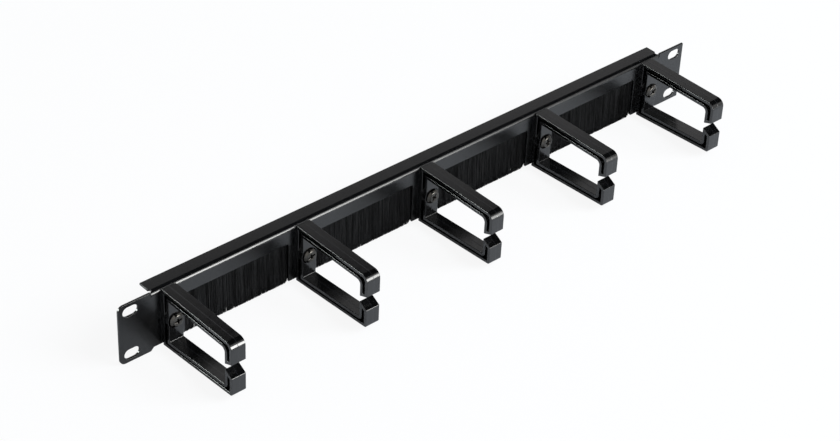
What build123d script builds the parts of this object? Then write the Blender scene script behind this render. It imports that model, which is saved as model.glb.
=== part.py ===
from build123d import *
import os
from math import cos, radians, sin, tan

os.makedirs("parts", exist_ok=True)

# Horizontal cable manager, one rack unit high: a folded steel panel with five C-shaped cable
# rings on its front and a strip brush in each of the four windows between them.
# X runs along the panel, +Y points into the rack and +Z is up. The origin lies on the back face
# of the panel, midway between the four rack slots.

# Panel, one folded sheet
panel_length = 482.6
panel_height = 43.7
sheet = 1.5
ear_width = 24.2
ear_corner_radius = 4.0

# Rack slots, measured in from the panel's ends and from its top and bottom edges
slot_from_end = 8.75
slot_from_edge = 5.975
slot_length = 11.0
slot_height = 7.0

# Top flange, folded back. At each ear a slit frees the bend, and a round bite opens its corner.
flange_depth = 12.3
bend_inner_radius = 1.7
relief_slit = 0.4
relief_below_bend = 0.2
relief_bite_radius = 1.3

# The panel's bottom edge stands higher than the ears, with a slope between them
bottom_step = 2.35
bottom_step_inset = 0.55

# Windows for the brushes, open at the bottom
ring_count = 5
ring_from_flange_end = 12.4
rib_width = 22.1
band_height = 12.0
window_corner_radius = 2.0

# Cable rings, moulded with a recess in each side. The lower arm rises towards the mouth.
ring_height = 42.3
ring_depth = 67.6
ring_width = 10.5
base_depth = 6.7
tip_depth = 6.6
upper_arm_thickness = 6.1
lower_arm_thickness = 5.5
lower_arm_slope = 3.4
rim = 2.2
middle_wall = 2.0
front_top_radius = 5.0
front_bottom_radius = 1.5
inner_front_top_radius = 3.0
inner_front_bottom_radius = 1.25

# Ring mouth: both tips are cut on a slant, so the mouth widens to the front
mouth_top = 3.7
mouth_gap = 4.1
upper_tip_slope = 20.0
lower_tip_slope = 30.0

# Ring screws and nuts
screw_diameter = 5.0
screw_length = 13.0
screw_hole_clearance = 0.3
head_diameter = 10.0
head_height = 3.4
head_top_diameter = 7.4
head_side_height = 2.1
head_clearance = 0.8
counterbore_depth = 1.2
boss_wall = 0.6
recess_long_arm = 5.4
recess_short_arm = 3.8
recess_width = 1.1
recess_depth = 2.0
recess_turns = (8.0, 15.0, 59.0, 97.0, 35.0)
nut_across_flats = 8.0
nut_height = 4.0
thread_clearance = 0.1

# Lug on the back of each ring, which keeps it from turning
lug_width = 3.0
lug_height = 4.0
lug_length = 1.3
lug_rise = 12.0
lug_clearance = 0.2

# Brushes: bristles folded over a wire, held in a folded channel that is taped behind the panel.
# Each brush is longer than its window, so its ends lie behind the panel.
tape_thickness = 0.5
holder_gap = 0.15
holder_lip = 0.6
channel_depth = 5.0
channel_wall = 0.8
channel_bend_radius = 1.4
brush_overlap = 3.0
core_diameter = 1.5
core_clearance = 0.1
core_cover = 1.2
bristle_overhang = 2.0
bristle_lean = 1.2
bristle_spread = 1.3
bristle_corner = 5.0

# Places worked out from the sizes above
half_length = panel_length / 2
half_height = panel_height / 2
flange_half = half_length - ear_width
bend_outer_radius = bend_inner_radius + sheet
bend_z = half_height - bend_outer_radius
relief_bottom = bend_z - relief_below_bend
rib_bottom = bottom_step - half_height
window_top = half_height - band_height
ring_pitch = 2 * (flange_half - ring_from_flange_end) / (ring_count - 1)
ring_places = [(index - (ring_count - 1) / 2) * ring_pitch for index in range(ring_count)]
window_places = [(left + right) / 2 for left, right in zip(ring_places, ring_places[1:])]
window_width = ring_pitch - rib_width

ring_back = -sheet
base_front = ring_back - base_depth
ring_top = ring_height / 2
tip_front = ring_back - ring_depth
tip_back = tip_front + tip_depth
mouth_bottom = mouth_top - mouth_gap

screw_hole_diameter = screw_diameter + screw_hole_clearance
counterbore_diameter = head_diameter + head_clearance
boss_diameter = counterbore_diameter + 2 * boss_wall
head_seat = base_front + counterbore_depth
head_front = head_seat - head_height

holder_top = bend_z - holder_gap
holder_bottom = window_top + holder_lip
brush_length = window_width + 2 * brush_overlap
channel_front = tape_thickness
channel_back = channel_front + channel_depth
bristle_top = holder_top - channel_wall
bristle_bottom = rib_bottom - bristle_overhang
bristle_front = channel_front + channel_wall
bristle_back = channel_back - channel_wall
core_y = (bristle_front + bristle_back) / 2
core_z = bristle_top - core_cover - core_diameter / 2


def finish(part, name):
    """Names a finished piece and writes it to its own file."""
    part.label = name
    export_step(part, f"parts/{name}.step")


# Panel
with BuildPart() as panel:
    with BuildSketch(Plane.XZ):
        with BuildLine():
            slope_top = flange_half - bottom_step_inset
            Polyline(
                (0, rib_bottom),
                (slope_top, rib_bottom),
                (slope_top + bottom_step, -half_height),
                (half_length, -half_height),
                (half_length, half_height),
                (flange_half + relief_slit, half_height),
                (flange_half + relief_slit, relief_bottom),
                (flange_half, relief_bottom),
                (flange_half, bend_z),
                (0, bend_z),
            )
            mirror(about=Plane.YZ)
        plate = make_face()
        fillet(plate.vertices().group_by(Axis.X)[0], ear_corner_radius)
        fillet(plate.vertices().group_by(Axis.X)[-1], ear_corner_radius)
        with GridLocations(panel_length - 2 * slot_from_end, panel_height - 2 * slot_from_edge, 2, 2):
            SlotOverall(slot_length, slot_height, mode=Mode.SUBTRACT)
        with Locations(*[(x, 0) for x in ring_places]):
            Circle(screw_hole_diameter / 2, mode=Mode.SUBTRACT)
        with Locations(*[(x, lug_rise) for x in ring_places]):
            Rectangle(lug_width + lug_clearance, lug_height + lug_clearance, mode=Mode.SUBTRACT)
    extrude(amount=sheet)
    with BuildSketch(Plane.XZ):
        with Locations(*[(x, window_top) for x in window_places]):
            windows = Rectangle(window_width, 2 * (window_top - rib_bottom), align=(Align.CENTER, Align.MAX))
        fillet(windows.vertices().group_by(Axis.Y)[-1], window_corner_radius)
    extrude(amount=sheet, mode=Mode.SUBTRACT)
    with BuildSketch(Plane.YZ.offset(-flange_half)):
        with BuildLine():
            CenterArc((bend_inner_radius, bend_z), bend_outer_radius, 90, 90)
            CenterArc((bend_inner_radius, bend_z), bend_inner_radius, 90, 90)
            Line((-sheet, bend_z), (0, bend_z))
            Polyline(
                (bend_inner_radius, half_height),
                (flange_depth - sheet, half_height),
                (flange_depth - sheet, half_height - sheet),
                (bend_inner_radius, half_height - sheet),
            )
        make_face()
    extrude(amount=2 * flange_half)
    with BuildSketch(Plane.XY.offset(half_height)):
        with Locations((-flange_half, relief_bite_radius), (flange_half, relief_bite_radius)):
            Circle(relief_bite_radius)
    extrude(amount=relief_bottom - half_height, mode=Mode.SUBTRACT)
finish(panel.part, "panel")


def sloped(y, start_y, start_z, slope, inset):
    """Height at y of an edge that leaves its start towards the front at slope, moved up by inset."""
    angle = radians(slope)
    return start_z + (start_y - y) * tan(angle) + inset / cos(angle)


def ring_outline(inset):
    """Side outline of a ring, drawn in Y and Z, with every edge moved into the material by inset."""
    back = ring_back - inset
    front = tip_front + inset
    mouth = tip_back - inset
    inner = base_front + inset
    top = ring_top - inset
    ceiling = ring_top - upper_arm_thickness + inset
    underside = (ring_back, -ring_top, lower_arm_slope, inset)
    floor = (ring_back, lower_arm_thickness - ring_top, lower_arm_slope, -inset)
    upper_tip = (tip_back, mouth_top, upper_tip_slope, inset)
    lower_tip = (tip_back, mouth_bottom, -lower_tip_slope, -inset)
    corners = (
        (back, sloped(back, *underside), 0),
        (back, top, 0),
        (front, top, max(front_top_radius - inset, 0)),
        (front, sloped(front, *upper_tip), 0),
        (mouth, sloped(mouth, *upper_tip), 0),
        (mouth, ceiling, inner_front_top_radius + inset),
        (inner, ceiling, 0),
        (inner, sloped(inner, *floor), 0),
        (mouth, sloped(mouth, *floor), inner_front_bottom_radius + inset),
        (mouth, sloped(mouth, *lower_tip), 0),
        (front, sloped(front, *lower_tip), 0),
        (front, sloped(front, *underside), max(front_bottom_radius - inset, 0)),
    )
    points = [(y, z) for y, z, radius in corners]
    radii = [radius for y, z, radius in corners]
    with BuildSketch() as outline:
        with BuildLine():
            FilletPolyline(points, radius=radii, close=True)
        make_face()
    return outline.sketch


# Cable rings: a C-shaped bar of I section with a screw boss through its base
for number, x in enumerate(ring_places, 1):
    with BuildPart() as cable_ring:
        with BuildSketch(Plane.YZ.offset(x)):
            add(ring_outline(0))
        extrude(amount=ring_width / 2, both=True)
        for side in (-1, 1):
            with BuildSketch(Plane.YZ.offset(x + side * middle_wall / 2)):
                add(ring_outline(rim))
            extrude(amount=side * (ring_width - middle_wall) / 2, mode=Mode.SUBTRACT)
        with BuildSketch(Plane.XZ.offset(-ring_back)):
            with Locations((x, 0)):
                Circle(boss_diameter / 2)
        extrude(amount=base_depth)
        with BuildSketch(Plane.XZ.offset(-ring_back)):
            with Locations((x, 0)):
                Circle(screw_hole_diameter / 2)
        extrude(amount=base_depth, mode=Mode.SUBTRACT)
        with BuildSketch(Plane.XZ.offset(-base_front)):
            with Locations((x, 0)):
                Circle(counterbore_diameter / 2)
        extrude(amount=-counterbore_depth, mode=Mode.SUBTRACT)
        with BuildSketch(Plane.XZ.offset(-ring_back)):
            with Locations((x, lug_rise)):
                Rectangle(lug_width, lug_height)
        extrude(amount=-lug_length)
    finish(cable_ring.part, f"cable_ring_{number}")

# Ring screws: pan head with a bevelled top and a slotted cross recess
for number, x in enumerate(ring_places, 1):
    with BuildPart() as ring_screw:
        with BuildSketch(Plane.YZ.offset(x)):
            with BuildLine():
                Polyline(
                    (head_front, 0),
                    (head_front, head_top_diameter / 2),
                    (head_seat - head_side_height, head_diameter / 2),
                    (head_seat, head_diameter / 2),
                    (head_seat, screw_diameter / 2),
                    (head_seat + screw_length, screw_diameter / 2),
                    (head_seat + screw_length, 0),
                    close=True,
                )
            make_face()
        revolve(axis=Axis((x, 0, 0), (0, 1, 0)))
        turn = recess_turns[(number - 1) % len(recess_turns)]
        with BuildSketch(Plane.XZ.offset(-head_front)):
            with Locations(Location((x, 0), turn)):
                Rectangle(recess_long_arm, recess_width)
                Rectangle(recess_width, recess_short_arm)
        extrude(amount=-recess_depth, mode=Mode.SUBTRACT)
    finish(ring_screw.part, f"ring_screw_{number}")

# Nuts on the screws behind the panel
for number, x in enumerate(ring_places, 1):
    with BuildPart() as ring_nut:
        with BuildSketch(Plane.XZ):
            with Locations((x, 0)):
                RegularPolygon(nut_across_flats / 2, 6, major_radius=False)
                Circle((screw_diameter + thread_clearance) / 2, mode=Mode.SUBTRACT)
        extrude(amount=-nut_height)
    finish(ring_nut.part, f"ring_nut_{number}")

# Brushes, one behind each window
for number, x in enumerate(window_places, 1):
    start = Plane.YZ.offset(x - brush_length / 2)

    with BuildPart() as brush_tape:
        with BuildSketch(start):
            with Locations((0, holder_bottom)):
                Rectangle(tape_thickness, holder_top - holder_bottom, align=(Align.MIN, Align.MIN))
        extrude(amount=brush_length)
    finish(brush_tape.part, f"brush_tape_{number}")

    with BuildPart() as brush_channel:
        with BuildSketch(start):
            with Locations((channel_front, holder_bottom)):
                outside = Rectangle(channel_depth, holder_top - holder_bottom, align=(Align.MIN, Align.MIN))
            fillet(outside.vertices().group_by(Axis.Y)[-1], channel_bend_radius)
            with Locations((bristle_front, holder_bottom)):
                Rectangle(
                    bristle_back - bristle_front,
                    bristle_top - holder_bottom,
                    align=(Align.MIN, Align.MIN),
                    mode=Mode.SUBTRACT,
                )
        extrude(amount=brush_length)
    finish(brush_channel.part, f"brush_channel_{number}")

    with BuildPart() as brush_core:
        with BuildSketch(start):
            with Locations((core_y, core_z)):
                Circle(core_diameter / 2)
        extrude(amount=brush_length)
    finish(brush_core.part, f"brush_core_{number}")

    with BuildPart() as bristles:
        with BuildSketch(start):
            with BuildLine():
                Polyline(
                    (bristle_front, bristle_top),
                    (bristle_back, bristle_top),
                    (bristle_back, holder_bottom),
                    (bristle_back + bristle_spread, bristle_bottom),
                    (bristle_front - bristle_lean, bristle_bottom),
                    (bristle_front, holder_bottom),
                    close=True,
                )
            make_face()
            with Locations((core_y, core_z)):
                Circle((core_diameter + core_clearance) / 2, mode=Mode.SUBTRACT)
        extrude(amount=brush_length)
        ends = bristles.edges().filter_by(Axis.Y).group_by(Axis.Z)[0]
        chamfer(ends, bristle_corner)
    finish(bristles.part, f"bristles_{number}")
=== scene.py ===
from math import cos, pi, radians, sin

import bpy
import numpy as np
from mathutils import Matrix, Vector


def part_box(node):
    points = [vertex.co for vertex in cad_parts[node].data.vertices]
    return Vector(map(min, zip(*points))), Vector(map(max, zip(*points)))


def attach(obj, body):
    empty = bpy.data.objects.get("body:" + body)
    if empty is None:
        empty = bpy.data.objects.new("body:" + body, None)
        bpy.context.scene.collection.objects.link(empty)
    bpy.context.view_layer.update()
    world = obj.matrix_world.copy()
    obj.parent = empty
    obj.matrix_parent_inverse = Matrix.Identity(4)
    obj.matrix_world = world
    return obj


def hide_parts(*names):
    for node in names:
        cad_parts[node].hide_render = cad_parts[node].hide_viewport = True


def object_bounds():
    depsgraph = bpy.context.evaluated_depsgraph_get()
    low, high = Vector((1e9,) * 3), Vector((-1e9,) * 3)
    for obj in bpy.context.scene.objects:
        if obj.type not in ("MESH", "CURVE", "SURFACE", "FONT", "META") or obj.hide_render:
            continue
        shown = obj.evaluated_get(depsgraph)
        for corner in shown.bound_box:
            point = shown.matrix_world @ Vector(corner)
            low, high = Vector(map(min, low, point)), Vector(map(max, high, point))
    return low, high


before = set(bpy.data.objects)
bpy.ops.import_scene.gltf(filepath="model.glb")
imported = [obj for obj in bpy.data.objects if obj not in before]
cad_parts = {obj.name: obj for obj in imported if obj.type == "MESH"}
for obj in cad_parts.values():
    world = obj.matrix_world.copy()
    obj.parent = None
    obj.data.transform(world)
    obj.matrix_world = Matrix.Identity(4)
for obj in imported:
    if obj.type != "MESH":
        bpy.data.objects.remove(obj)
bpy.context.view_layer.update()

# Horizontal cable manager: a folded black steel panel, five C-shaped plastic rings screwed to its
# front, and a strip brush behind each of the four windows. Everything is in metres.
MM = 0.001
RINGS = 5
BRUSHES = 4
PITCH = 102.35 * MM


# Node helpers

# A noise texture's values lie mostly between these two.
NOISE_LOW = 0.3
NOISE_HIGH = 0.7

# Sockets of a Mix node that mixes colours
MIX_FIRST = 6
MIX_SECOND = 7
MIX_RESULT = 2


class Paint:
    """A procedural material, built node by node on Object coordinates."""

    def __init__(self, name):
        self.material = bpy.data.materials.new(name)
        self.material.use_nodes = True
        self.tree = self.material.node_tree
        self.shader = self.tree.nodes["Principled BSDF"]
        self.place = self.add("ShaderNodeTexCoord").outputs["Object"]

    def add(self, kind, **settings):
        node = self.tree.nodes.new(kind)
        for key, value in settings.items():
            setattr(node, key, value)
        return node

    def link(self, source, target):
        self.tree.links.new(source, target)

    def stretched(self, scale):
        """Object coordinates with each axis scaled, for streaks along one direction."""
        mapping = self.add("ShaderNodeMapping")
        mapping.inputs["Scale"].default_value = scale
        self.link(self.place, mapping.inputs["Vector"])
        return mapping.outputs["Vector"]

    def noise(self, scale, detail=2.0, rough=0.5, vector=None):
        node = self.add("ShaderNodeTexNoise")
        node.inputs["Scale"].default_value = scale
        node.inputs["Detail"].default_value = detail
        node.inputs["Roughness"].default_value = rough
        self.link(vector or self.place, node.inputs["Vector"])
        return node.outputs["Fac"]

    def ramp(self, source, dark, light, low=NOISE_LOW, high=NOISE_HIGH):
        """A colour that goes from dark, where the source is low, to light, where it is high."""
        node = self.add("ShaderNodeValToRGB")
        for element, position, colour in zip(node.color_ramp.elements, (low, high), (dark, light)):
            element.position = position
            element.color = (*colour, 1.0)
        self.link(source, node.inputs["Fac"])
        return node.outputs["Color"]

    def remap(self, source, low, high, from_low=NOISE_LOW, from_high=NOISE_HIGH):
        """A factor spread over a new range of values."""
        node = self.add("ShaderNodeMapRange")
        node.inputs["From Min"].default_value = from_low
        node.inputs["From Max"].default_value = from_high
        node.inputs["To Min"].default_value = low
        node.inputs["To Max"].default_value = high
        self.link(source, node.inputs["Value"])
        return node.outputs["Result"]

    def maths(self, operation, first, second=None, third=None):
        node = self.add("ShaderNodeMath", operation=operation)
        for socket, value in zip(node.inputs, (first, second, third)):
            if value is None:
                continue
            if isinstance(value, (int, float)):
                socket.default_value = value
            else:
                self.link(value, socket)
        return node.outputs["Value"]

    def bump(self, height, distance, strength, under=None):
        node = self.add("ShaderNodeBump")
        node.inputs["Strength"].default_value = strength
        node.inputs["Distance"].default_value = distance
        self.link(height, node.inputs["Height"])
        if under is not None:
            self.link(under, node.inputs["Normal"])
        return node.outputs["Normal"]

    def gloss(self, level):
        self.shader.inputs["Specular IOR Level"].default_value = level

    def wear(self, colour, roughness, normal):
        self.link(colour, self.shader.inputs["Base Color"])
        self.link(roughness, self.shader.inputs["Roughness"])
        self.link(normal, self.shader.inputs["Normal"])
        return self.material


# Materials

def panel_powder_coat():
    """Black powder coat: a low orange peel over steel, with a faint mottle in tone and gloss."""
    paint = Paint("panel_powder_coat")
    mottle = paint.noise(scale=70.0, detail=4.0)
    peel = paint.noise(scale=850.0, detail=3.0, rough=0.6)
    colour = paint.ramp(mottle, dark=(0.0014, 0.0015, 0.0017), light=(0.0026, 0.0027, 0.0030))
    roughness = paint.remap(paint.noise(scale=160.0, detail=3.0), low=0.22, high=0.27)
    paint.gloss(0.58)
    return paint.wear(colour, roughness, paint.bump(peel, distance=0.012 * MM, strength=0.5))


# The parting line on the rings: half its width where it is full, and where it has faded out
PARTING_CORE = 0.10 * MM
PARTING_EDGE = 0.30 * MM
# The parting line's lighter colour is a painted highlight; the line itself is a real raised ridge, made by
# the bump.
PARTING_HIGHLIGHT_COLOUR = (0.010, 0.010, 0.011)

# The rings stand at whole multiples of the pitch. Shifted by this many pitches, each one's middle
# lies at half a pitch in the remainder, and nothing is negative.
PITCHES_SHIFTED = 10.5


def ring_moulded_plastic():
    """Black moulded plastic with a satin skin and a faint raised parting line round each ring's middle,
    painted lighter as a highlight along the ridge.
    """
    paint = Paint("ring_moulded_plastic")
    split = paint.add("ShaderNodeSeparateXYZ")
    paint.link(paint.place, split.inputs["Vector"])
    shifted = paint.maths("ADD", split.outputs["X"], PITCHES_SHIFTED * PITCH)
    across = paint.maths("SUBTRACT", paint.maths("MODULO", shifted, PITCH), PITCH / 2)
    off_line = paint.maths("ABSOLUTE", across)
    seam_with_highlight = paint.remap(off_line, low=1.0, high=0.0, from_low=PARTING_CORE, from_high=PARTING_EDGE)
    cloud = paint.noise(scale=45.0, detail=4.0)
    skin = paint.ramp(cloud, dark=(0.0013, 0.0013, 0.0014), light=(0.0026, 0.0026, 0.0027))
    # Mixes the painted highlight of the parting line into the skin's tone
    skin_with_highlight = paint.add("ShaderNodeMix", data_type="RGBA")
    paint.link(seam_with_highlight, skin_with_highlight.inputs["Factor"])
    paint.link(skin, skin_with_highlight.inputs[MIX_FIRST])
    skin_with_highlight.inputs[MIX_SECOND].default_value = (*PARTING_HIGHLIGHT_COLOUR, 1.0)
    roughness = paint.remap(paint.noise(scale=230.0, detail=3.0), low=0.15, high=0.21)
    paint.gloss(0.62)
    grain = paint.bump(paint.noise(scale=1400.0), distance=0.004 * MM, strength=0.4)
    ridge = paint.bump(seam_with_highlight, distance=0.05 * MM, strength=0.6, under=grain)
    return paint.wear(skin_with_highlight.outputs[MIX_RESULT], roughness, ridge)


def plated_metal(name, dark, light, smooth, rough, stretch=(1.0, 1.0, 1.0)):
    """Plated or rolled metal: two tones under fine marks, stretched along the rolling direction."""
    paint = Paint(name)
    marks = paint.noise(scale=420.0, detail=5.0, rough=0.6, vector=paint.stretched(stretch))
    cloud = paint.noise(scale=90.0, detail=3.0)
    colour = paint.ramp(cloud, dark, light)
    roughness = paint.remap(marks, smooth, rough)
    paint.shader.inputs["Metallic"].default_value = 1.0
    return paint.wear(colour, roughness, paint.bump(marks, distance=0.006 * MM, strength=0.5))


# How much each of three things sets a filament's tone: the painted shade and light of the fine tufts along
# the brush, where the clumps shade each other, the flecks along the filament, and the filament's own tone
CLUMP_SHADE_SHARE = 0.45
FLECK_SHARE = 0.2
STRAND_SHARE = 0.35


def bristle_filament():
    """Black nylon filament: each one has its own tone, and painted shade and light make it darker and
    lighter in tufts, where the clumps shade each other.
    """
    paint = Paint("bristle_filament")
    tone = paint.add("ShaderNodeAttribute", attribute_name="strand_tone").outputs["Fac"]
    fleck = paint.noise(scale=500.0, vector=paint.stretched((1.0, 1.0, 0.12)))
    # Painted shade in the gaps between the fine tufts of the brush, and painted light on the tufts
    clump_shade = paint.noise(scale=2200.0, rough=0.6, vector=paint.stretched((1.0, 0.12, 0.03)))
    marks = paint.maths("MULTIPLY_ADD", clump_shade, CLUMP_SHADE_SHARE, paint.maths("MULTIPLY", fleck, FLECK_SHARE))
    mixed = paint.maths("MULTIPLY_ADD", tone, STRAND_SHARE, marks)
    black = (0.0004, 0.0004, 0.0004)
    # The light end is the filaments' own paler tone together with the painted light on the tufts
    pale_and_lit = (0.040, 0.039, 0.038)
    colour = paint.ramp(mixed, black, pale_and_lit, low=0.40, high=0.68)
    roughness = paint.remap(tone, low=0.52, high=0.34, from_low=0.0, from_high=1.0)
    paint.gloss(0.10)
    return paint.wear(colour, roughness, paint.bump(fleck, distance=0.01 * MM, strength=0.3))


def foam_tape():
    """Dark closed-cell foam tape with a fine open grain on its cut edges."""
    paint = Paint("foam_tape")
    cells = paint.add("ShaderNodeTexVoronoi")
    cells.inputs["Scale"].default_value = 2600.0
    paint.link(paint.place, cells.inputs["Vector"])
    grain = cells.outputs["Distance"]
    colour = paint.ramp(grain, dark=(0.010, 0.010, 0.010), light=(0.034, 0.033, 0.032), low=0.0, high=0.6)
    roughness = paint.remap(paint.noise(scale=300.0), low=0.75, high=0.92)
    return paint.wear(colour, roughness, paint.bump(grain, distance=0.05 * MM, strength=0.7))


# CAD nodes that stay: their cut edges are rounded, and they get their finish

# Points nearer than this are joined, faces that meet at less than this angle are merged, and edges
# sharper than this angle get a round.
JOIN_DISTANCE = 0.002 * MM
FLAT_ANGLE = radians(0.4)
SHARP_ANGLE = radians(32.0)

# How much face area counts over corner angle in the averaged normals, from 1 to 100
AREA_WEIGHT = 50

# Width of the rounds
PANEL_ROUND = 0.24 * MM
RING_ROUND = 0.30 * MM
FASTENER_ROUND = 0.25 * MM
CHANNEL_ROUND = 0.15 * MM
CORE_ROUND = 0.10 * MM
TAPE_ROUND = 0.08 * MM


def dress(node, material, edge, segments=3):
    """Gives a CAD node its finish and rounds its edges: the triangles are joined, flat faces are
    merged, sharp edges get a round of the given width, and flat faces keep their own normals."""
    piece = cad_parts[node]
    piece.data.materials.clear()
    piece.data.materials.append(material)
    weld = piece.modifiers.new("join", "WELD")
    weld.merge_threshold = JOIN_DISTANCE
    flat = piece.modifiers.new("flats", "DECIMATE")
    flat.decimate_type = "DISSOLVE"
    flat.angle_limit = FLAT_ANGLE
    bevel = piece.modifiers.new("round", "BEVEL")
    bevel.width = edge
    bevel.segments = segments
    bevel.limit_method = "ANGLE"
    bevel.angle_limit = SHARP_ANGLE
    bevel.use_clamp_overlap = False
    bevel.harden_normals = False
    normals = piece.modifiers.new("normals", "WEIGHTED_NORMAL")
    normals.mode = "FACE_AREA"
    normals.weight = AREA_WEIGHT


# Marks on rolled and drawn metal are drawn out twenty times along X.
DRAWN_OUT = (0.05, 1.0, 1.0)

coat = panel_powder_coat()
plastic = ring_moulded_plastic()
nickel = plated_metal("screw_dark_nickel", (0.034, 0.032, 0.029), (0.110, 0.104, 0.095), 0.09, 0.17)
zinc = plated_metal("nut_zinc", (0.46, 0.47, 0.49), (0.60, 0.61, 0.62), 0.24, 0.40)
rolled = plated_metal("channel_rolled", (0.52, 0.52, 0.53), (0.64, 0.64, 0.65), 0.28, 0.42, DRAWN_OUT)
wire = plated_metal("core_drawn_wire", (0.40, 0.40, 0.41), (0.52, 0.52, 0.52), 0.25, 0.38, DRAWN_OUT)
foam = foam_tape()
filament = bristle_filament()

dress("panel", coat, PANEL_ROUND)
for number in range(1, RINGS + 1):
    dress(f"cable_ring_{number}", plastic, RING_ROUND)
    dress(f"ring_screw_{number}", nickel, FASTENER_ROUND)
    dress(f"ring_nut_{number}", zinc, FASTENER_ROUND)
for number in range(1, BRUSHES + 1):
    dress(f"brush_channel_{number}", rolled, CHANNEL_ROUND, segments=2)
    dress(f"brush_core_{number}", wire, CORE_ROUND, segments=2)
    dress(f"brush_tape_{number}", foam, TAPE_ROUND, segments=2)


# Bristles

HAIRPINS = 2200
LEG_POINTS = 6
ARC_POINTS = 3
STRAND_RADIUS = 0.135 * MM
STRAND_SIDES = 3
FIRST_SEED = 40

# Room round the strands, the brush's ends, and its corners, which are cut off
STRAND_MARGIN = STRAND_RADIUS + 0.02 * MM
END_MARGIN = 0.4 * MM
CORNER_CUT = 5.0 * MM

# Hairpins round the wire: how thick the bundle is at the wire's sides, and how near its middle a
# strand may come
SIDE_BUNDLE = 0.72 * MM
NEAREST_TO_WIRE = 0.12 * MM

# The strands are held together for this share of their depth, and fan out below it
HELD_SHARE = 0.16
FAN_POWER = 1.4
RANK_POWER = 0.45

# How far single strands differ from each other
PLACE_JITTER = 0.25 * MM
TRIM_JITTER = 0.14 * MM
WANDER = 0.10 * MM
CURL = 0.16 * MM
LEAN = 0.22 * MM
LEAN_POWER = 1.3

# Sideways waves along the brush: length, size and shift of each
SWAY_WAVES = ((13.1 * MM, 0.28 * MM, 0.0), (5.7 * MM, 0.20 * MM, 1.9), (2.3 * MM, 0.08 * MM, 4.1))
SWAY_POWER = 1.5
BRUSH_PHASE = 1.3
SIDE_PHASE = 0.8


def clump_sway(x, depth, phase):
    """Sideways sway of the strands at x: three sine waves along the brush, so that neighbours lean
    together into clumps. It grows with the power 1.5 of the depth below the channel."""
    sway = np.zeros_like(x)
    for length, size, shift in SWAY_WAVES:
        sway = sway + size * np.sin(2 * pi * x / length + shift + phase)
    return sway * depth ** SWAY_POWER


def hairpin_paths(number, random):
    """Paths of the strands, as an array (strand, point, xyz). Each strand is one hairpin: its front
    leg runs up from the trimmed end into the channel, a half circle takes it over the wire, and its
    back leg runs down again. The height along a leg falls evenly, and its distance from the wire
    grows with the power 1.4 of the depth, so the curtain fans out below the channel."""
    low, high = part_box(f"bristles_{number}")
    wire_low, wire_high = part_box(f"brush_core_{number}")
    wire_y = (wire_low.y + wire_high.y) / 2
    wire_z = (wire_low.z + wire_high.z) / 2
    wire_radius = (wire_high.z - wire_low.z) / 2
    x = np.linspace(low.x + END_MARGIN, high.x - END_MARGIN, HAIRPINS)
    x = x + random.uniform(-PLACE_JITTER, PLACE_JITTER, HAIRPINS)
    rank = random.permutation(HAIRPINS) / (HAIRPINS - 1.0)
    inside = wire_radius + STRAND_MARGIN
    turn_radius = inside + rank * (high.z - wire_z - wire_radius - 3 * STRAND_MARGIN)
    side_radius = np.minimum(turn_radius, inside + rank * SIDE_BUNDLE)

    depth = np.linspace(1.0, 0.0, LEG_POINTS)[None, :]
    from_end = np.minimum(x - low.x, high.x - x)
    trim = np.clip(CORNER_CUT - from_end, 0.0, None) + random.uniform(0.0, TRIM_JITTER, HAIRPINS)
    bottom = low.z + STRAND_MARGIN + trim
    fall = np.clip((depth - HELD_SHARE) / (1.0 - HELD_SHARE), 0.0, 1.0)
    leg_z = wire_z + (bottom[:, None] - wire_z) * depth
    legs = []
    front_reach = wire_y - low.y - STRAND_MARGIN
    back_reach = high.y - wire_y - STRAND_MARGIN
    for side, reach in ((-1.0, front_reach), (1.0, back_reach)):
        outward = rank[:, None] ** RANK_POWER * reach
        spread = side_radius[:, None] + (outward - side_radius[:, None]) * fall ** FAN_POWER
        wander = random.normal(0.0, WANDER, (HAIRPINS, 1)) * fall
        y = wire_y + side * np.clip(spread + wander, NEAREST_TO_WIRE, reach)
        curl = random.normal(0.0, CURL, (HAIRPINS, 1)) * np.sin(pi * fall)
        lean = random.normal(0.0, LEAN, (HAIRPINS, 1)) * fall ** LEAN_POWER
        phase = BRUSH_PHASE * number + SIDE_PHASE * side
        along = x[:, None] + clump_sway(x[:, None] + 0 * fall, fall, phase) + curl + lean
        legs.append(np.stack([along, y, leg_z], axis=2))
    angle = np.linspace(pi, 0.0, ARC_POINTS + 2)[1:-1][None, :]
    arc_y = wire_y + side_radius[:, None] * np.cos(angle)
    arc_z = wire_z + turn_radius[:, None] * np.sin(angle)
    arc = np.stack([x[:, None] + 0 * angle, arc_y, arc_z], axis=2)
    paths = np.concatenate([legs[0], arc, legs[1][:, ::-1]], axis=1)
    paths[:, :, 0] = np.clip(paths[:, :, 0], low.x + STRAND_MARGIN, high.x - STRAND_MARGIN)
    return paths


def strand_tubes(paths):
    """Closed tubes along the paths. A ring of the tube is the path point plus the strand's radius
    times (cos a * X + sin a * N), where N is the tangent crossed with X, so it never twists. Returns
    the points, the side quads and the end triangles."""
    count, steps, _ = paths.shape
    sideways = np.array([1.0, 0.0, 0.0])
    across = np.cross(np.gradient(paths, axis=1), sideways)
    across /= np.linalg.norm(across, axis=2, keepdims=True)
    angle = np.arange(STRAND_SIDES) * 2 * pi / STRAND_SIDES
    ring = (
        paths[:, :, None, :]
        + STRAND_RADIUS * np.cos(angle)[None, None, :, None] * sideways
        + STRAND_RADIUS * np.sin(angle)[None, None, :, None] * across[:, :, None, :]
    )
    index = np.arange(count * steps * STRAND_SIDES).reshape(count, steps, STRAND_SIDES)
    ahead = np.roll(index, -1, axis=2)
    quads = np.stack([index[:, :-1], ahead[:, :-1], ahead[:, 1:], index[:, 1:]], axis=3).reshape(-1, 4)
    starts = index[:, 0, ::-1]
    ends = index[:, -1]
    return ring.reshape(-1, 3), quads, np.concatenate([starts, ends])


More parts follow.
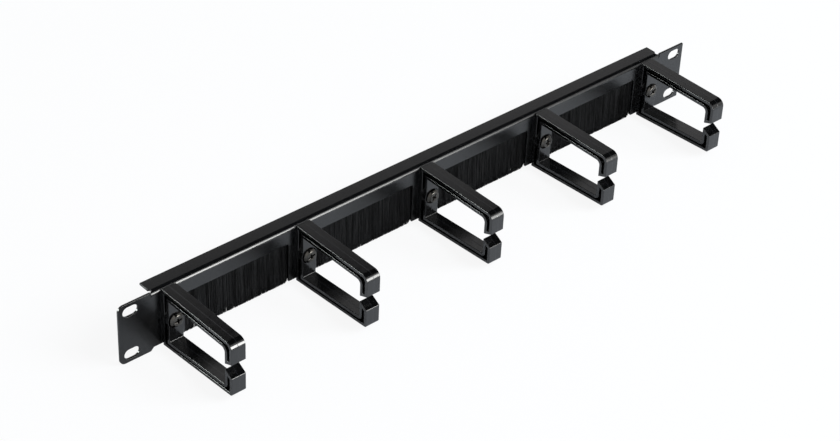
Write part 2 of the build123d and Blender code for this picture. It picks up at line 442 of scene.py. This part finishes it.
def mesh_piece(name, points, quads, triangles, material):
    """A mesh object from whole arrays of points, quads and triangles."""
    mesh = bpy.data.meshes.new(name)
    corners = np.concatenate([quads.ravel(), triangles.ravel()]).astype(np.int32)
    sizes = np.concatenate([np.full(len(quads), 4), np.full(len(triangles), 3)])
    starts = np.concatenate([[0], np.cumsum(sizes)[:-1]]).astype(np.int32)
    mesh.vertices.add(len(points))
    mesh.vertices.foreach_set("co", points.astype(np.float32).ravel())
    mesh.loops.add(len(corners))
    mesh.loops.foreach_set("vertex_index", corners)
    mesh.polygons.add(len(sizes))
    mesh.polygons.foreach_set("loop_start", starts)
    mesh.polygons.foreach_set("use_smooth", sizes == 4)
    mesh.update(calc_edges=True)
    mesh.materials.append(material)
    piece = bpy.data.objects.new(name, mesh)
    bpy.context.collection.objects.link(piece)
    return piece


for number in range(1, BRUSHES + 1):
    random = np.random.default_rng(FIRST_SEED + number)
    paths = hairpin_paths(number, random)
    points, quads, triangles = strand_tubes(paths)
    curtain = mesh_piece(f"bristle_strands_{number}", points, quads, triangles, filament)
    tone = curtain.data.attributes.new("strand_tone", "FLOAT", "POINT")
    per_strand = random.random(len(paths))
    tone.data.foreach_set("value", np.repeat(per_strand, len(points) // len(paths)).astype(np.float32))
    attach(curtain, "root")
    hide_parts(f"bristles_{number}")


# Studio: a pale floor and white surroundings, one soft light that reflections don't see, and five
# cards that only reflections see, two of them bright, one grey and two dark

FLOOR_REACH = 12.0
FLOOR_GAP = 0.1 * MM
FLOOR_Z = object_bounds()[0][2] - FLOOR_GAP
FLOOR_PAPER = (0.92, 0.92, 0.92)
FLOOR_ROUGHNESS = 0.9
FLOOR_GLOSS = 0.1

# How much of the floor is a plain white glow, to the camera and to reflections. The rest is paper.
# The camera's share is on top of the reflections' share.
GLOW_FOR_CAMERA = 0.78
GLOW_FOR_REFLECTIONS = 0.12

AMBIENT = (0.33, 0.35, 0.38)
WHITE = (1.0, 1.0, 1.0)
OBJECT_MIDDLE = (0.0, 0.0, 0.0)


def direct_view(tree):
    """The light path node, and a factor that is one where the camera, a reflection or a look
    through glass sees a surface, and nought for the light that surfaces get from it."""
    path = tree.nodes.new("ShaderNodeLightPath")
    total = path.outputs["Is Camera Ray"]
    for ray in ("Is Glossy Ray", "Is Transmission Ray"):
        added = tree.nodes.new("ShaderNodeMath")
        added.operation = "ADD"
        added.use_clamp = True
        tree.links.new(total, added.inputs[0])
        tree.links.new(path.outputs[ray], added.inputs[1])
        total = added.outputs["Value"]
    return path, total


def mix_to_output(tree, share, first, second, output):
    """Mixes two shaders by a share of the second, and sends the result to the output's surface."""
    both = tree.nodes.new("ShaderNodeMixShader")
    tree.links.new(share, both.inputs["Fac"])
    tree.links.new(first, both.inputs[1])
    tree.links.new(second, both.inputs[2])
    tree.links.new(both.outputs["Shader"], tree.nodes[output].inputs["Surface"])


def flat_board(name, corners, material):
    """A flat square of the studio. It isn't part of the object."""
    mesh = bpy.data.meshes.new(name)
    mesh.from_pydata(corners, [], [(0, 1, 2, 3)])
    mesh.materials.append(material)
    board = bpy.data.objects.new(name, mesh)
    bpy.context.collection.objects.link(board)
    return board


def floor():
    """A pale floor that shows almost white to the camera and in reflections, and keeps a soft shadow."""
    material = bpy.data.materials.new("floor_white")
    material.use_nodes = True
    tree = material.node_tree
    paper = tree.nodes["Principled BSDF"]
    paper.inputs["Base Color"].default_value = (*FLOOR_PAPER, 1.0)
    paper.inputs["Roughness"].default_value = FLOOR_ROUGHNESS
    paper.inputs["Specular IOR Level"].default_value = FLOOR_GLOSS
    glow = tree.nodes.new("ShaderNodeEmission")
    glow.inputs["Strength"].default_value = 1.0
    path, seen = direct_view(tree)
    base = tree.nodes.new("ShaderNodeMath")
    base.operation = "MULTIPLY"
    base.inputs[1].default_value = GLOW_FOR_REFLECTIONS
    tree.links.new(seen, base.inputs[0])
    share = tree.nodes.new("ShaderNodeMath")
    share.operation = "MULTIPLY_ADD"
    share.inputs[1].default_value = GLOW_FOR_CAMERA
    tree.links.new(path.outputs["Is Camera Ray"], share.inputs[0])
    tree.links.new(base.outputs["Value"], share.inputs[2])
    pale, bright = paper.outputs["BSDF"], glow.outputs["Emission"]
    mix_to_output(tree, share.outputs["Value"], pale, bright, "Material Output")
    signs = ((-1, -1), (1, -1), (1, 1), (-1, 1))
    flat_board("floor", [(x * FLOOR_REACH, y * FLOOR_REACH, FLOOR_Z) for x, y in signs], material)


def surroundings():
    """White where the camera and reflections see the world, and a plain grey light elsewhere."""
    world = bpy.data.worlds.new("surroundings")
    bpy.context.scene.world = world
    world.use_nodes = True
    tree = world.node_tree
    grey = tree.nodes["Background"]
    grey.inputs["Color"].default_value = (*AMBIENT, 1.0)
    white = tree.nodes.new("ShaderNodeBackground")
    white.inputs["Color"].default_value = (*WHITE, 1.0)
    _, seen = direct_view(tree)
    mix_to_output(tree, seen, grey.outputs["Background"], white.outputs["Background"], "World Output")


def card(name, centre, toward, size, colour, strength, fade=0.0):
    """A flat glowing card that faces a point. The camera doesn't see it and it casts no shadow. With
    fade, its glow rises smoothly from nought at its right-hand edge, as the object sees it, over
    that width."""
    half_x, half_y = size[0] / 2, size[1] / 2
    material = bpy.data.materials.new(name)
    material.use_nodes = True
    tree = material.node_tree
    tree.nodes.remove(tree.nodes["Principled BSDF"])
    glow = tree.nodes.new("ShaderNodeEmission")
    glow.inputs["Color"].default_value = (*colour, 1.0)
    glow.inputs["Strength"].default_value = strength
    if fade:
        place = tree.nodes.new("ShaderNodeTexCoord")
        split = tree.nodes.new("ShaderNodeSeparateXYZ")
        level = tree.nodes.new("ShaderNodeMapRange")
        level.interpolation_type = "SMOOTHSTEP"
        level.inputs["From Min"].default_value = -half_x
        level.inputs["From Max"].default_value = fade - half_x
        level.inputs["To Max"].default_value = strength
        tree.links.new(place.outputs["Object"], split.inputs["Vector"])
        tree.links.new(split.outputs["X"], level.inputs["Value"])
        tree.links.new(level.outputs["Result"], glow.inputs["Strength"])
    tree.links.new(glow.outputs["Emission"], tree.nodes["Material Output"].inputs["Surface"])
    corners = [(-half_x, -half_y, 0), (half_x, -half_y, 0), (half_x, half_y, 0), (-half_x, half_y, 0)]
    board = flat_board(name, corners, material)
    normal = (Vector(toward) - Vector(centre)).normalized()
    side = Vector((0, 0, 1)).cross(normal).normalized()
    turn = Matrix((side, normal.cross(side), normal)).transposed().to_4x4()
    board.matrix_world = Matrix.Translation(centre) @ turn
    board.visible_camera = False
    board.visible_shadow = False
    return board


def soft_light(*settings):
    """A card that reflections don't see, so it only lights the floor and matt surfaces."""
    card(*settings).visible_glossy = False


def reflected_card(*settings):
    """A card that only reflections see, so it doesn't change the light on the object."""
    board = card(*settings)
    board.visible_diffuse = False
    board.visible_transmission = False
    board.visible_volume_scatter = False


floor()
surroundings()
soft_light("light_key", (2.1, -2.7, 2.7), OBJECT_MIDDLE, (2.6, 2.6), (0.93, 1.0, 1.08), 10.8)

# The fold and the rings' corners shine from the bright card at the front, and it fades to the right.
reflected_card("glow_front", (0.58, -1.07, 0.27), OBJECT_MIDDLE, (0.84, 0.66), (1.0, 1.0, 0.98), 24.5, 0.80)

# The thin lines on the rings' near edges shine from the bright card at the back.
reflected_card("glow_back", (-1.12, 0.84, 0.27), OBJECT_MIDDLE, (0.7, 0.45), (0.94, 1.0, 0.97), 24.0)

# Faces that look up reflect a dark card at the back left, a grey one at the back right, and a dark
# one above.
reflected_card("card_left", (-1.10, 1.15, 0.75), OBJECT_MIDDLE, (2.6, 2.0), (1.0, 1.0, 1.0), 0.01)
reflected_card("card_back", (1.10, 1.20, 0.72), OBJECT_MIDDLE, (2.2, 1.30), (1.0, 0.99, 1.0), 0.52)
reflected_card("card_top", (0.75, 0.10, 1.30), (0.15, 0.0, 0.0), (2.4, 2.2), (1.0, 1.0, 1.0), 0.005)


# Camera at the photograph's viewing angle

AZIMUTH = radians(-43.1302)
ELEVATION = radians(36.0146)
ROLL = radians(2.8417)
PLACE = (-0.8030903, -0.8550136, 0.8282321)
FOCAL_PIXELS = 2210.59
PHOTO_WIDTH = 840
SENSOR = 36.0
NEAR = 0.01
FAR = 50.0

look = Vector((-sin(AZIMUTH) * cos(ELEVATION), cos(AZIMUTH) * cos(ELEVATION), -sin(ELEVATION)))
level = Vector((cos(AZIMUTH), sin(AZIMUTH), 0.0))
upward = level.cross(look)
across = cos(ROLL) * level + sin(ROLL) * upward
up = -sin(ROLL) * level + cos(ROLL) * upward
lens = bpy.data.cameras.new("camera")
lens.sensor_fit = "HORIZONTAL"
lens.sensor_width = SENSOR
lens.lens = FOCAL_PIXELS / PHOTO_WIDTH * SENSOR
lens.clip_start = NEAR
lens.clip_end = FAR
camera = bpy.data.objects.new("camera", lens)
bpy.context.collection.objects.link(camera)
camera.matrix_world = Matrix.Translation(PLACE) @ Matrix((across, up, -look)).transposed().to_4x4()
bpy.context.scene.camera = camera
bpy.context.scene.view_settings.view_transform = "Standard"
